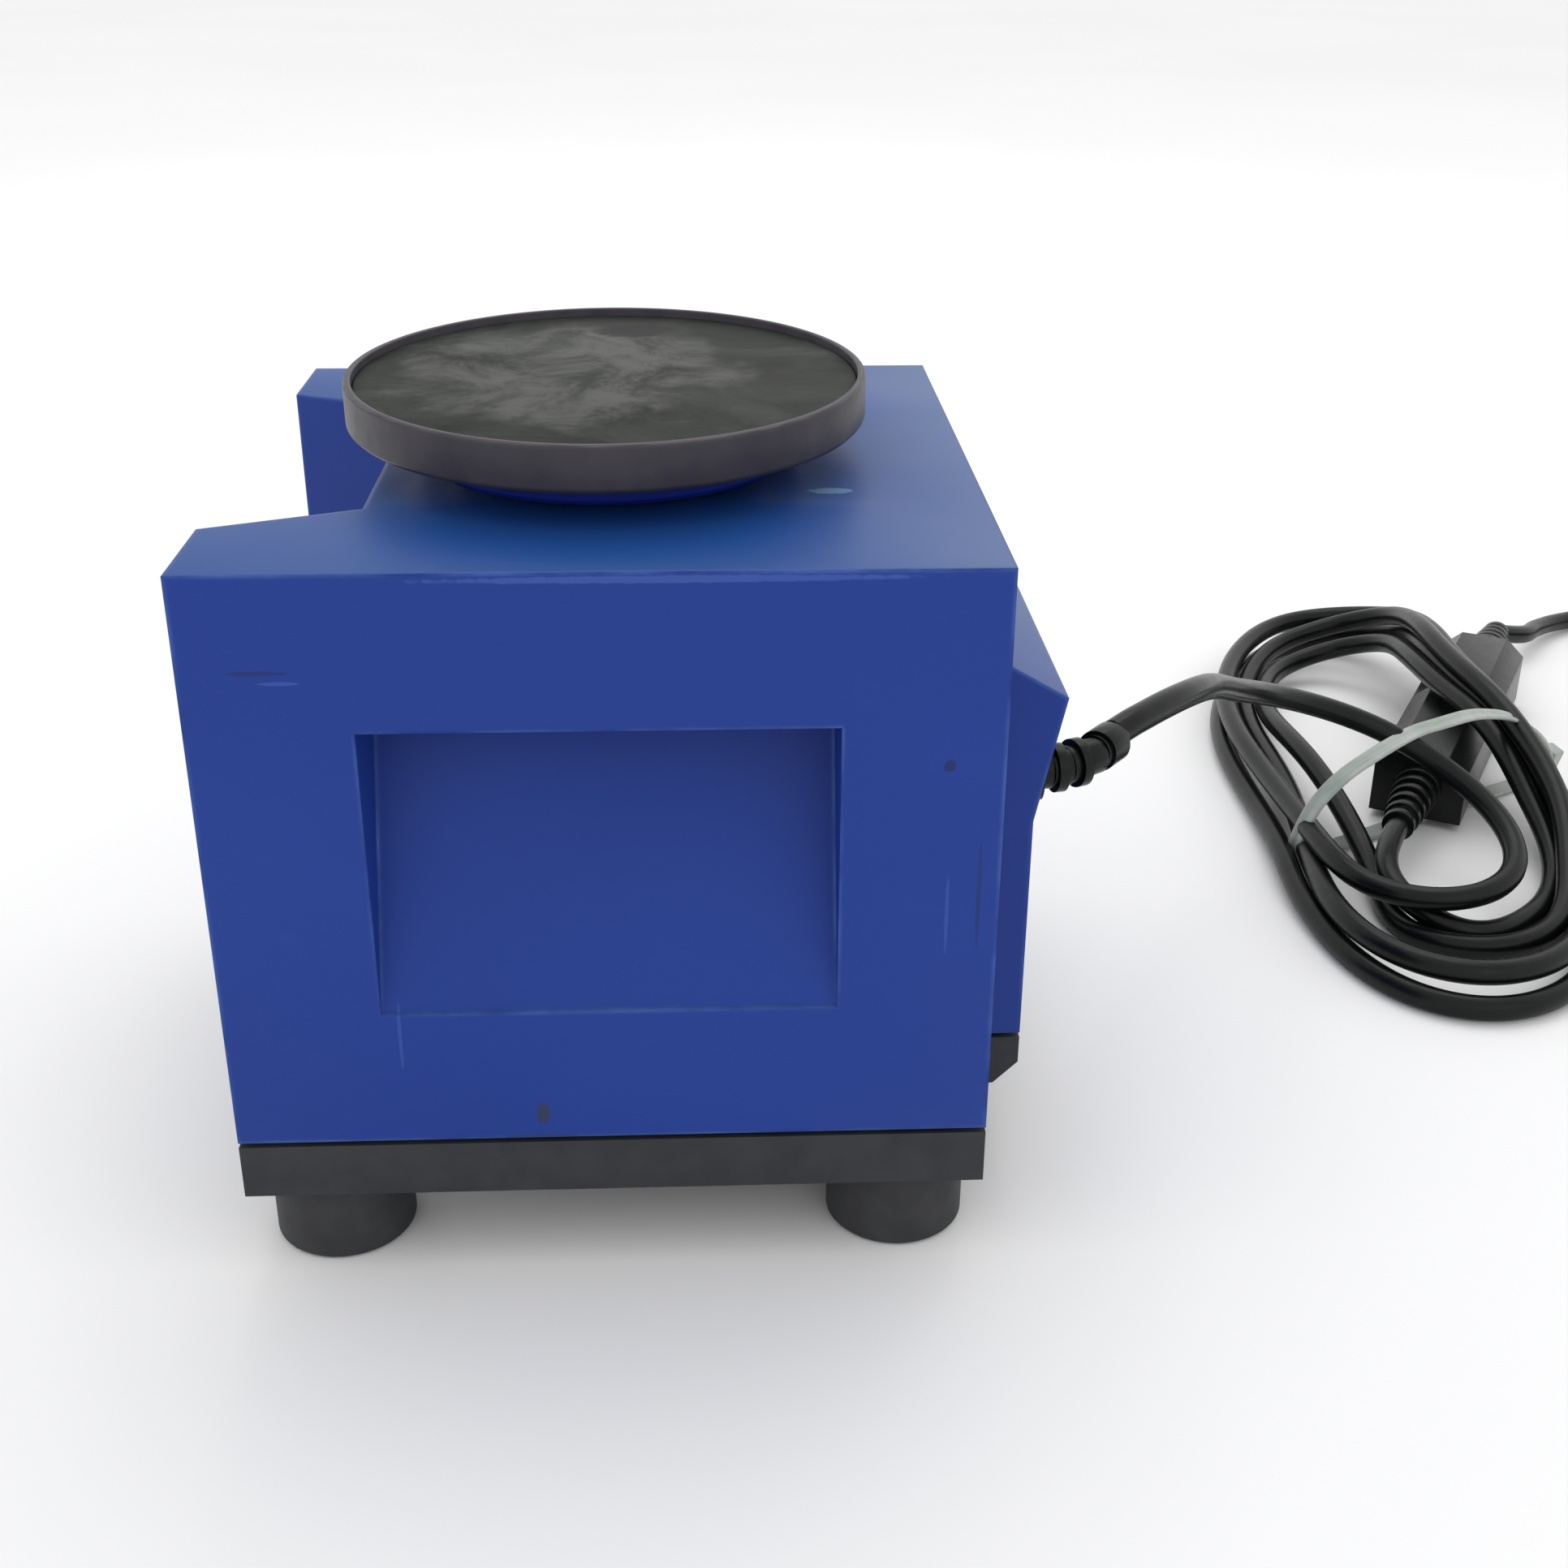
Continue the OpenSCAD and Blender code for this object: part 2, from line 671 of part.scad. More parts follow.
// inside the housing, from the gland through the clamp to the terminal block
inner_route = [[29, 71.9, 88.3], [29.5, 67, 86], [31, 65, 78], [31, 65, 66], [31, 64, 54],
    [30, 61, 45], [29, 55, 40.5], [29, 49, 40.5], [27, 43, 41], [22, 40, 43.5], [17, 39, 47],
    [16, 39, 51.5]];

module power_lead() {
    color(rubber_black) {
        swept(lead_route, cord_d / 2, 10, 1);
        swept(tail_route, cord_d / 2, 10, 1);
    }
}

module inner_lead() {
    color(rubber_black) swept(inner_route, cord_d / 2, 10, 1);
}

module coil_plan() {
    difference() {
        offset(r = strand_r) polygon(coil_ring);
        intersection() {
            offset(r = -22) polygon(coil_ring);
            translate([-400, 100]) square([350, 300]);
        }
    }
}

// the in-line plug and connector lie in a straight line under the coil's far run
pair_start = [-92, 210];
pair_heading = 150.5;
pair_z = 13;

module on_pair(along) {
    translate([pair_start[0], pair_start[1], pair_z]) rotate([0, 0, pair_heading])
        translate([along, 0, 0]) children();
}

tie_from = [-91, 175];
tie_heading = 120;
tie_lean = 16;
tie_w = 4.8;
tie_t = 1.1;

module on_tie() {
    translate([tie_from[0], tie_from[1], 0]) rotate([0, 0, tie_heading])
        rotate([90 + tie_lean, 0, 0]) children();
}

// the band's outline, in its own leaning plane: left side, crown over the lead, right side
module tie_outline(inset) {
    hull() {
        translate([10, 6.75]) circle(r = 6 - inset, $fn = 32);
        translate([15.5, 20]) circle(r = 10.5 - inset, $fn = 40);
        translate([38, 30.6]) circle(r = 10.6 - inset, $fn = 40);
        translate([63, 30.4]) circle(r = 10.6 - inset, $fn = 40);
        translate([81, 25.5]) circle(r = 10.5 - inset, $fn = 40);
        translate([107, 12]) circle(r = 9.5 - inset, $fn = 40);
        translate([110.5, 6.75]) circle(r = 6 - inset, $fn = 32);
    }
}

module lead_coil() {
    color(rubber_black) difference() {
        union() {
            linear_extrude(coil_h) coil_plan();
            linear_extrude(coil_hump_h) intersection() {
                coil_plan();
                translate([pair_start[0], pair_start[1]]) rotate(pair_heading) translate([20, -30]) square([140, 60]);
            }
        }
        on_pair(0) translate([29, -15.2, -13]) cube([190, 30.4, 26.5]);
        on_pair(0) translate([-12, -8, -13]) cube([60, 16, 26.5]);
        on_tie() linear_extrude(tie_w + 1.6, center = true) difference() {
            translate([-20, -5]) square([170, 60]);
            tie_outline(tie_t + 0.3);
        }
    }
}

module coil_tie() {
    color("lightgray") on_tie() union() {
        linear_extrude(tie_w, center = true) difference() {
            tie_outline(0);
            tie_outline(tie_t);
        }
        translate([115.6, 6, -2.4]) cube([4.6, 7, 4.8]);
    }
}

plug_relief = 32;
plug_body = 58;
plug_mouth = 17;
nose = 16.5;
connector_body = 54;
connector_relief = 34;
body_w = 27;
body_h = 21;

module relief_along(length, r0, r1, ribs) {
    rotate([0, 90, 0]) union() {
        cylinder(r = cord_d / 2 + 0.8, h = length, $fn = 32);
        for (i = [0 : ribs - 1]) translate([0, 0, length * i / ribs])
            cylinder(r = r0 + (r1 - r0) * i / (ribs - 1), h = length / ribs * 0.55, $fn = 40);
    }
}

module pin_place() {
    for (p = [[-7, -2], [7, -2], [0, 2.5]]) translate([0, p[0], p[1]]) children();
}

module inline_plug() {
    color(rubber_black) on_pair(0) union() {
        relief_along(plug_relief, 4.6, 7, 6);
        difference() {
            translate([plug_relief - 1, 0, 0]) rotate([90, 0, 90]) linear_extrude(plug_body + 1)
                body_outline(body_w, body_h);
            translate([plug_relief + plug_body - plug_mouth, 0, 0]) rotate([90, 0, 90])
                linear_extrude(plug_mouth + 1) body_outline(body_w - 4.4, body_h - 4.4);
        }
        pin_place() translate([plug_relief + plug_body - plug_mouth - 1, -1, -2]) cube([12, 2, 4]);
    }
}

// six-sided outline of the plug and the connector, narrower at the top
module body_outline(w, h) {
    polygon([[-w / 2, -h / 2], [w / 2, -h / 2], [w / 2, h / 2 - 5.5], [w / 2 - 6, h / 2],
        [6 - w / 2, h / 2], [-w / 2, h / 2 - 5.5]]);
}

module inline_connector() {
    mate = plug_relief + plug_body;
    color(rubber_black) on_pair(0) union() {
        difference() {
            translate([mate - nose, 0, 0]) rotate([90, 0, 90]) linear_extrude(nose + 1)
                body_outline(body_w - 5, body_h - 5);
            pin_place() translate([mate - nose - 1, -1.3, -2.3]) cube([14, 2.6, 4.6]);
        }
        translate([mate + 0.2, 0, 0]) rotate([90, 0, 90]) linear_extrude(connector_body)
            body_outline(body_w, body_h);
        translate([mate + connector_body + connector_relief, 0, 0]) rotate([0, 0, 180])
            relief_along(connector_relief, 4.6, 8, 6);
    }
}

pair_length = plug_relief + plug_body + connector_body + connector_relief;
pair_end = [pair_start[0] + pair_length * cos(pair_heading),
    pair_start[1] + pair_length * sin(pair_heading), pair_z];

// the second lead, from the connector to its own small coil
hub_coil = [-236, 408];
hub_coil_r = 39;
hub_coil_half = 6.8;
hub_coil_h = 19.5;
supply_route = [pair_end, [-256, 312, 9], [-268, 320, 6.5], [-280, 331, 4.5], [-288, 345, 3.4],
    [-291, 361, 3.25], [-290, 377, 3.25], [-286, 392, 3.25], [-279, 405, 3.25]];
supply_tail = [[-236, 447, 16], [-222, 449, 16.4], [-208, 450, 17], [-195, 450, 17]];

module supply_lead() {
    color(rubber_black) {
        swept(supply_route, cord_d / 2, 10, 1);
        swept(supply_tail, cord_d / 2, 10, 1);
    }
}

module supply_coil() {
    color(rubber_black) translate([hub_coil[0], hub_coil[1], 0]) difference() {
        rotate_extrude($fn = 96) translate([hub_coil_r - hub_coil_half, 0])
            square([2 * hub_coil_half, hub_coil_h]);
        translate([hub_coil_r, 0, 0]) rotate([90, 0, 0]) linear_extrude(tie_w + 4.4, center = true)
            difference() {
                translate([-20, -5]) square([40, 40]);
                translate([tie_t + 0.2 - hub_coil_half, tie_t + 0.3])
                    square([2 * (hub_coil_half - tie_t) - 0.4, hub_coil_h - 2 * tie_t - 0.6]);
            }
    }
}

module supply_tie() {
    color("lightgray") translate([hub_coil[0] + hub_coil_r, hub_coil[1], 0]) rotate([90, 0, 0]) union() {
        linear_extrude(tie_w, center = true) difference() {
            translate([-hub_coil_half, 0.1]) square([2 * hub_coil_half, hub_coil_h - 0.2]);
            translate([tie_t - hub_coil_half, 0.1 + tie_t])
                square([2 * (hub_coil_half - tie_t), hub_coil_h - 0.2 - 2 * tie_t]);
        }
        translate([-4, hub_coil_h - 0.5, -4]) cube([8, 4.4, 8]);
    }
}

module wall_plug() {
    color(rubber_black) translate([supply_tail[3][0], supply_tail[3][1], 17]) rotate([0, 90, 0]) union() {
        cylinder(r = cord_d / 2 + 0.8, h = 24, $fn = 32);
        for (i = [0 : 4]) translate([0, 0, 4.6 * i]) cylinder(r = 4.6 + 0.6 * i, h = 2.6, $fn = 40);
        translate([0, 0, 23]) cylinder(r1 = 9, r2 = 17, h = 12, $fn = 64);
        translate([0, 0, 35]) cylinder(r = 17, h = 12, $fn = 64);
    }
    color(steel) translate([supply_tail[3][0] + 46, supply_tail[3][1], 17]) rotate([0, 90, 0])
        for (s = [-1, 1]) translate([0, 9.5 * s, 0]) cylinder(r = 2.4, h = 20, $fn = 32);
}

upper_housing();
base_tray();
foot_front_left();
foot_front_right();
foot_rear_left();
foot_rear_right();
foot_washers();
foot_screws();
ballast_plate();
standoffs();
base_screws();
motor_plate();
plate_screws();
motor_can();
motor_stator();
motor_screws();
lower_bearing();
upper_bearing();
motor_rotor();
drive_shaft();
counterweight();
counterweight_screw();
flexible_posts();
eccentric_bearing();
platform_hub();
dish();
dish_pad();
dish_screws();
control_panel();
speed_knob();
knob_shaft();
speed_control();
switch_frame();
power_rocker();
power_lamp();
control_board();
heat_sink();
capacitor();
terminal_block();
board_bracket();
cord_gland();
cord_clamp();
inner_lead();
power_lead();
lead_coil();
coil_tie();
inline_plug();
inline_connector();
supply_lead();
supply_coil();
supply_tie();
wall_plug();
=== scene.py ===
"""Looks of the bench-top orbital shaker. Everything is in metres, in the row frame."""
import json
import math

import bmesh
import bpy
import numpy as np
from mathutils import Matrix, Vector


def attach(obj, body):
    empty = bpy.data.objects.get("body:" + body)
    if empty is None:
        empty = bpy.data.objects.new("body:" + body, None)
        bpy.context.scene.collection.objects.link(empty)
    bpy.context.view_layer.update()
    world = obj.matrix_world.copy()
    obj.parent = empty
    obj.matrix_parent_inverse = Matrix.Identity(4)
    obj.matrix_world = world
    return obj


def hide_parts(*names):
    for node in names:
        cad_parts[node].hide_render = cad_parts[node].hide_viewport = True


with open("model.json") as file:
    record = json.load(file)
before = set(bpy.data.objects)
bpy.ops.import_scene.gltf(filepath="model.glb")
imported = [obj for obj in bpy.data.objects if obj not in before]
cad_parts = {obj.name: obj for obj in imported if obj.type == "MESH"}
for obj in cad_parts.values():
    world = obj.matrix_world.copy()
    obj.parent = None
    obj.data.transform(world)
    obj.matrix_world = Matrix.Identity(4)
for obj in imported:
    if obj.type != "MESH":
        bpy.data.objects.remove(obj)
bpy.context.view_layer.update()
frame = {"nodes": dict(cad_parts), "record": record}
NODES = frame["nodes"]
scene = bpy.context.scene


# ------------------------------------------------------------------ camera
CAMERA_PLACE = (0.4059, 0.0095, 0.2619)


def make_camera():
    """The viewpoint: in front of the grip side, looking down at 25 degrees."""
    yaw, pitch, roll = math.radians(2.652), math.radians(25.024), math.radians(0.298)
    level = math.cos(pitch)
    forward = Vector((-math.cos(yaw) * level, math.sin(yaw) * level, -math.sin(pitch)))
    right = Vector((math.sin(yaw), math.cos(yaw), 0))
    up = right.cross(forward)
    tilted_right = right * math.cos(roll) + up * math.sin(roll)
    tilted_up = up * math.cos(roll) - right * math.sin(roll)
    data = bpy.data.cameras.new("camera")
    data.lens = 44.88
    data.sensor_width = 36
    data.clip_start = 0.01
    data.clip_end = 20
    camera = bpy.data.objects.new("camera", data)
    rotation = Matrix((tilted_right, tilted_up, -forward)).transposed()
    camera.matrix_world = Matrix.Translation(CAMERA_PLACE) @ rotation.to_4x4()
    scene.collection.objects.link(camera)
    scene.camera = camera


make_camera()


# ------------------------------------------------------------------ materials
class Shader:
    """A small wrapper for building node materials."""

    def __init__(self, name, roughness=0.5, metallic=0.0, specular=0.5, coat=0.0, coat_roughness=0.1):
        self.material = bpy.data.materials.new(name)
        self.material.use_nodes = True
        self.tree = self.material.node_tree
        self.bsdf = self.tree.nodes["Principled BSDF"]
        self.bsdf.inputs["Roughness"].default_value = roughness
        self.bsdf.inputs["Metallic"].default_value = metallic
        self.bsdf.inputs["Specular IOR Level"].default_value = specular
        self.bsdf.inputs["Coat Weight"].default_value = coat
        self.bsdf.inputs["Coat Roughness"].default_value = coat_roughness
        self.coords = self.node("ShaderNodeTexCoord").outputs["Object"]

    def node(self, kind, **values):
        n = self.tree.nodes.new(kind)
        for key, value in values.items():
            setattr(n, key, value)
        return n

    def link(self, a, b):
        self.tree.links.new(a, b)

    def noise(self, scale, detail=4, roughness=0.55, distortion=0.0, stretch=None, shift=(0, 0, 0)):
        n = self.node("ShaderNodeTexNoise")
        n.inputs["Scale"].default_value = scale
        n.inputs["Detail"].default_value = detail
        n.inputs["Roughness"].default_value = roughness
        n.inputs["Distortion"].default_value = distortion
        self.link(self.moved(stretch or (1, 1, 1), shift), n.inputs["Vector"])
        return n.outputs["Fac"]

    def moved(self, stretch, shift):
        m = self.node("ShaderNodeMapping")
        m.inputs["Scale"].default_value = stretch
        m.inputs["Location"].default_value = shift
        self.link(self.coords, m.inputs["Vector"])
        return m.outputs["Vector"]

    def ramp(self, value, low, high):
        """0 below low, 1 above high."""
        n = self.node("ShaderNodeMapRange")
        n.interpolation_type = "SMOOTHSTEP"
        n.clamp = True
        n.inputs["From Min"].default_value = low
        n.inputs["From Max"].default_value = high
        self.link(value, n.inputs["Value"])
        return n.outputs["Result"]

    def math(self, operation, a, b=None):
        n = self.node("ShaderNodeMath", operation=operation)
        for i, x in enumerate((a, b)):
            if x is None:
                continue
            if isinstance(x, (int, float)):
                n.inputs[i].default_value = x
            else:
                self.link(x, n.inputs[i])
        return n.outputs["Value"]

    def mix(self, factor, a, b):
        n = self.node("ShaderNodeMix", data_type="RGBA")
        if isinstance(factor, (int, float)):
            n.inputs["Factor"].default_value = factor
        else:
            self.link(factor, n.inputs["Factor"])
        for socket, x in ((n.inputs[6], a), (n.inputs[7], b)):
            if isinstance(x, tuple):
                socket.default_value = (*x[:3], 1)
            else:
                self.link(x, socket)
        return n.outputs[2]

    def blob(self, centre, size, wobble=0.0, scale=300.0):
        """1 inside an ellipsoid about centre, 0 outside, with a ragged edge."""
        m = self.node("ShaderNodeVectorMath", operation="SUBTRACT")
        self.link(self.coords, m.inputs[0])
        m.inputs[1].default_value = centre
        d = self.node("ShaderNodeVectorMath", operation="DIVIDE")
        self.link(m.outputs[0], d.inputs[0])
        d.inputs[1].default_value = size
        length = self.node("ShaderNodeVectorMath", operation="LENGTH")
        self.link(d.outputs[0], length.inputs[0])
        distance = length.outputs["Value"]
        if wobble:
            distance = self.math("ADD", distance, self.math("MULTIPLY", self.math(
                "SUBTRACT", self.noise(scale, 3), 0.5), wobble))
        return self.math("SUBTRACT", 1.0, self.ramp(distance, 0.75, 1.05))

    def colour(self, value):
        if isinstance(value, tuple):
            self.bsdf.inputs["Base Color"].default_value = (*value[:3], 1)
        else:
            self.link(value, self.bsdf.inputs["Base Color"])

    def rough(self, value):
        self.link(value, self.bsdf.inputs["Roughness"])

    def soft_edges(self, radius):
        """Where the surface turns a corner (0 to 1), and normals that round the corner off."""
        bevel = self.node("ShaderNodeBevel", samples=6)
        bevel.inputs["Radius"].default_value = radius
        dot = self.node("ShaderNodeVectorMath", operation="DOT_PRODUCT")
        self.link(bevel.outputs["Normal"], dot.inputs[0])
        self.link(self.node("ShaderNodeNewGeometry").outputs["True Normal"], dot.inputs[1])
        turned = self.math("SUBTRACT", 1.0, dot.outputs["Value"])
        return self.ramp(turned, 0.03, 0.22), bevel.outputs["Normal"]

    def bump(self, height, strength=0.2, distance=0.0002, normal=None):
        n = self.node("ShaderNodeBump")
        n.inputs["Strength"].default_value = strength
        n.inputs["Distance"].default_value = distance
        self.link(height, n.inputs["Height"])
        if normal is not None:
            self.link(normal, n.inputs["Normal"])
        self.link(n.outputs["Normal"], self.bsdf.inputs["Normal"])


def plain(name, dark, light, roughness, scale=120.0, metallic=0.0, bump=0.1, grain=900.0,
          spread=0.08, specular=0.5, coat=0.0):
    """A material whose colour and roughness both vary gently over the surface."""
    s = Shader(name, metallic=metallic, specular=specular, coat=coat)
    wide = s.noise(scale, 5)
    s.colour(s.mix(s.ramp(wide, 0.3, 0.7), dark, light))
    s.rough(s.math("ADD", s.math("MULTIPLY", s.noise(scale * 2.3, 3, shift=(3, 1, 2)), spread * 2),
                   roughness - spread))
    s.bump(s.noise(grain, 3), bump)
    return s.material


def housing_paint():
    """Satin blue paint, with the chip, spots and scratches of a used machine, lighter corners, and a
    painted reflection that makes the top face paler and greener.
    """
    s = Shader("housing_paint", specular=0.22)
    wide = s.noise(9, 4, shift=(0.3, 0.1, 0.7))
    base = s.mix(s.ramp(wide, 0.3, 0.7), (0.0095, 0.038, 0.250), (0.0115, 0.043, 0.270))
    # painted reflection: the top face is painted paler and greener, and paler still towards +Y
    normal = s.node("ShaderNodeSeparateXYZ")
    s.link(s.node("ShaderNodeNewGeometry").outputs["Normal"], normal.inputs[0])
    painted_top_reflection = s.ramp(normal.outputs["Z"], 0.7, 0.98)
    base = s.mix(s.math("MULTIPLY", painted_top_reflection, 0.55), base, (0.014, 0.088, 0.275))
    place = s.node("ShaderNodeSeparateXYZ")
    s.link(s.coords, place.inputs[0])
    # painted reflection, paler still where the top face reaches towards +Y
    painted_reflection_patch = s.math("MULTIPLY", painted_top_reflection, s.ramp(place.outputs["Y"], 0.030, 0.078))
    base = s.mix(s.math("MULTIPLY", painted_reflection_patch, 0.6), base, (0.110, 0.165, 0.310))
    haze = s.math("MULTIPLY", s.ramp(s.noise(38, 7, 0.7, 0.6), 0.58, 0.76), 0.10)
    base = s.mix(haze, base, (0.05, 0.10, 0.36))
    # edges painted a little lighter, in patches
    edge, soft = s.soft_edges(0.0016)
    base = s.mix(s.math("MULTIPLY", edge, s.ramp(s.noise(60, 4), 0.30, 0.70)), base, (0.07, 0.15, 0.47))
    for centre, size, colour, strength in HOUSING_MARKS:
        spot = s.math("MULTIPLY", s.blob(centre, size, 0.7, 500), strength)
        base = s.mix(spot, base, colour)
    s.colour(base)
    s.rough(s.math("ADD", 0.34, s.math("MULTIPLY", s.noise(26, 5), 0.14)))
    s.bump(s.noise(1500, 2), 0.12, 0.0001, soft)
    return s.material


# place, half extents, colour and strength of each mark on the paint
HOUSING_MARKS = [
    ((0.030, 0.036, 0.150), (0.0022, 0.0050, 0.004), (0.16, 0.32, 0.50), 0.75),
    ((0.0785, 0.0555, 0.1120), (0.003, 0.0013, 0.0013), (0.010, 0.020, 0.075), 0.7),
    ((0.0785, -0.0230, 0.0370), (0.003, 0.0014, 0.0028), (0.030, 0.038, 0.060), 0.8),
    ((0.0785, -0.0240, 0.0310), (0.003, 0.0100, 0.0013), (0.016, 0.034, 0.14), 0.5),
    ((0.0785, 0.0620, 0.0850), (0.003, 0.0005, 0.0120), (0.010, 0.022, 0.10), 0.5),
    ((0.0785, 0.0560, 0.0810), (0.003, 0.0004, 0.0090), (0.05, 0.11, 0.40), 0.4),
    ((0.0785, -0.0700, 0.1320), (0.003, 0.0060, 0.0005), (0.008, 0.018, 0.09), 0.5),
    ((0.0785, -0.0660, 0.1300), (0.003, 0.0040, 0.0004), (0.06, 0.13, 0.45), 0.4),
    ((0.0775, 0.0050, 0.1490), (0.004, 0.0500, 0.0008), (0.06, 0.13, 0.42), 0.45),
    ((0.0785, -0.0500, 0.0560), (0.003, 0.0004, 0.0090), (0.05, 0.11, 0.40), 0.4),
]


def pad_rubber():
    """Scuffed rubber, paler where flasks have stood, with a dark smear towards its -X side."""
    s = Shader("pad_rubber", specular=0.12)
    patches = s.ramp(s.noise(30, 6, 0.65, 0.8), 0.38, 0.62)
    base = s.mix(patches, (0.011, 0.014, 0.011), (0.030, 0.034, 0.028))
    worn = s.math("MULTIPLY", s.blob((0.000, -0.018, 0.1672), (0.040, 0.036, 0.03), 1.1, 50),
                  s.ramp(s.noise(48, 6, 0.7, 0.6, shift=(1, 4, 2)), 0.36, 0.62))
    base = s.mix(s.math("MULTIPLY", worn, 0.8), base, (0.112, 0.114, 0.108))
    streak = s.ramp(s.noise(70, 5, 0.7, 0.5, stretch=(1, 0.35, 1)), 0.56, 0.70)
    base = s.mix(s.math("MULTIPLY", streak, 0.22), base, (0.12, 0.13, 0.12))
    smear = s.blob((-0.035, -0.004, 0.1684), (0.006, 0.010, 0.01), 1.0, 160)
    base = s.mix(s.math("MULTIPLY", smear, 0.8), base, (0.010, 0.011, 0.010))
    s.colour(base)
    s.rough(s.math("ADD", 0.45, s.math("MULTIPLY", s.noise(40, 5, shift=(2, 2, 1)), 0.25)))
    s.bump(s.noise(500, 4), 0.25, 0.0002)
    return s.material


MATERIALS = {
    "housing_paint": housing_paint(),
    "hub_blue": plain("hub_blue", (0.007, 0.024, 0.26), (0.010, 0.030, 0.31), 0.4, specular=0.25),
    "base_plastic": plain("base_plastic", (0.026, 0.028, 0.032), (0.034, 0.036, 0.040),
                          0.55, specular=0.25),
    "dish_plastic": plain("dish_plastic", (0.038, 0.034, 0.044), (0.048, 0.043, 0.053),
                          0.42, specular=0.3),
    "foot_rubber": plain("foot_rubber", (0.030, 0.031, 0.035), (0.040, 0.041, 0.045),
                         0.6, specular=0.25),
    "pad_rubber": pad_rubber(),
    "cord_rubber": plain("cord_rubber", (0.0020, 0.0030, 0.0026), (0.0045, 0.0058, 0.0052),
                         0.30, specular=0.22),
    "steel": plain("steel", (0.38, 0.39, 0.40), (0.50, 0.51, 0.52), 0.32, metallic=1.0),
    "cast_iron": plain("cast_iron", (0.08, 0.08, 0.085), (0.13, 0.13, 0.135), 0.6, metallic=0.6),
    "stator_core": plain("stator_core", (0.13, 0.08, 0.05), (0.20, 0.13, 0.08), 0.4),
    "brass": plain("brass", (0.50, 0.34, 0.12), (0.64, 0.45, 0.18), 0.3, metallic=1.0),
    "black_plastic": plain("black_plastic", (0.008, 0.008, 0.009), (0.014, 0.014, 0.015), 0.36),
    "rocker_red": plain("rocker_red", (0.36, 0.015, 0.012), (0.44, 0.022, 0.018), 0.28),
    "lamp_green": plain("lamp_green", (0.05, 0.36, 0.08), (0.07, 0.46, 0.10), 0.2),
    "board_green": plain("board_green", (0.010, 0.08, 0.03), (0.016, 0.11, 0.04), 0.4),
    "white_plastic": plain("white_plastic", (0.60, 0.60, 0.56), (0.68, 0.68, 0.64), 0.45),
    "tie_plastic": plain("tie_plastic", (0.30, 0.34, 0.31), (0.40, 0.43, 0.40), 0.4),
}


def paint_node(node, name):
    o = NODES[node]
    if not o.data.materials:
        o.data.materials.append(None)
    for place in o.material_slots:
        place.link = "OBJECT"
        place.material = MATERIALS[name]


for part in frame["record"]["subparts"]:
    paint_node(part["node"], part["material_slot"])


# ------------------------------------------------------------------ mesh helpers
def new_piece(name, mesh, body, slot, replaces=()):
    o = bpy.data.objects.new(name, mesh)
    scene.collection.objects.link(o)
    mesh.materials.clear()
    mesh.materials.append(MATERIALS[slot])
    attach(o, body)
    if replaces:
        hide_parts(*replaces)
    return o


NODE_SLOT = {part["node"]: part["material_slot"] for part in frame["record"]["subparts"]}
SHARP = math.radians(28)        # edges that turn by more than this are rounded


def bevelled(node, name, width, body="housing", segments=3):
    """A copy of a CAD node with its flat faces merged and its edges rounded."""
    mesh = NODES[node].data.copy()
    b = bmesh.new()
    b.from_mesh(mesh)
    bmesh.ops.remove_doubles(b, verts=b.verts, dist=2e-6)
    bmesh.ops.dissolve_limit(b, angle_limit=math.radians(0.5), verts=b.verts, edges=b.edges)
    b.to_mesh(mesh)
    b.free()
    o = new_piece(name, mesh, body, NODE_SLOT[node], (node,))
    for polygon in mesh.polygons:
        polygon.use_smooth = True
    bevel = o.modifiers.new("edges", "BEVEL")
    bevel.width = width
    bevel.segments = segments
    bevel.limit_method = "ANGLE"
    bevel.angle_limit = SHARP
    bevel.harden_normals = True
    bevel.use_clamp_overlap = True


def sharp_by_angle(mesh, degrees):
    b = bmesh.new()
    b.from_mesh(mesh)
    limit = math.radians(degrees)
    for e in b.edges:
        e.smooth = not (len(e.link_faces) == 2 and e.calc_face_angle(0) > limit)
    b.to_mesh(mesh)
    b.free()


# ------------------------------------------------------------------ leads
CORD_D = 0.0065
STEP = 0.005            # between the points of the lead while it settles
LAST_STEP = 0.006       # between its points once it has settled
NEIGHBOURS = 5          # points along the strand that may lie closer together than TOUCH
TIGHTEST = 0.025        # bends tighter than this are eased
TIE_LIFT = 0.0019       # how far the tie under the coil lifts the strands
TOUCH = 0.0066          # how far apart the middles of two touching strands lie
LYING = 0.0033          # height of a strand that lies on the floor
# from the strain relief, in an arch over the coil's near run and down into its far run
LEAD_ROUTE = [
    (0.0173, 0.0997, 0.0913), (0.0055, 0.1130, 0.0938), (-0.0080, 0.1240, 0.0910),
    (-0.0270, 0.1325, 0.0845), (-0.0460, 0.1405, 0.0760), (-0.0650, 0.1485, 0.0675),
    (-0.0840, 0.1590, 0.0590), (-0.0980, 0.1695, 0.0525), (-0.1040, 0.1810, 0.0478),
    (-0.1060, 0.1940, 0.0434), (-0.1050, 0.2060, 0.0388), (-0.1010, 0.2170, 0.0333),
    (-0.0940, 0.2280, 0.0275), (-0.0830, 0.2380, 0.0220), (-0.0690, 0.2410, 0.0175),
    (-0.0550, 0.2350, 0.0145)]
# middle of the coil's outermost turn: right run, front bend, left run, rear bend
COIL_RING = [
    (-0.078, 0.263), (-0.052, 0.257), (-0.028, 0.246), (-0.007, 0.230), (0.003, 0.209), (-0.003, 0.188),
    (-0.024, 0.177), (-0.052, 0.175), (-0.085, 0.178), (-0.115, 0.180), (-0.145, 0.178), (-0.178, 0.178),
    (-0.212, 0.186), (-0.245, 0.202), (-0.271, 0.222), (-0.286, 0.243), (-0.284, 0.259), (-0.265, 0.266),
    (-0.234, 0.261), (-0.198, 0.256), (-0.162, 0.256), (-0.130, 0.262), (-0.104, 0.266)]
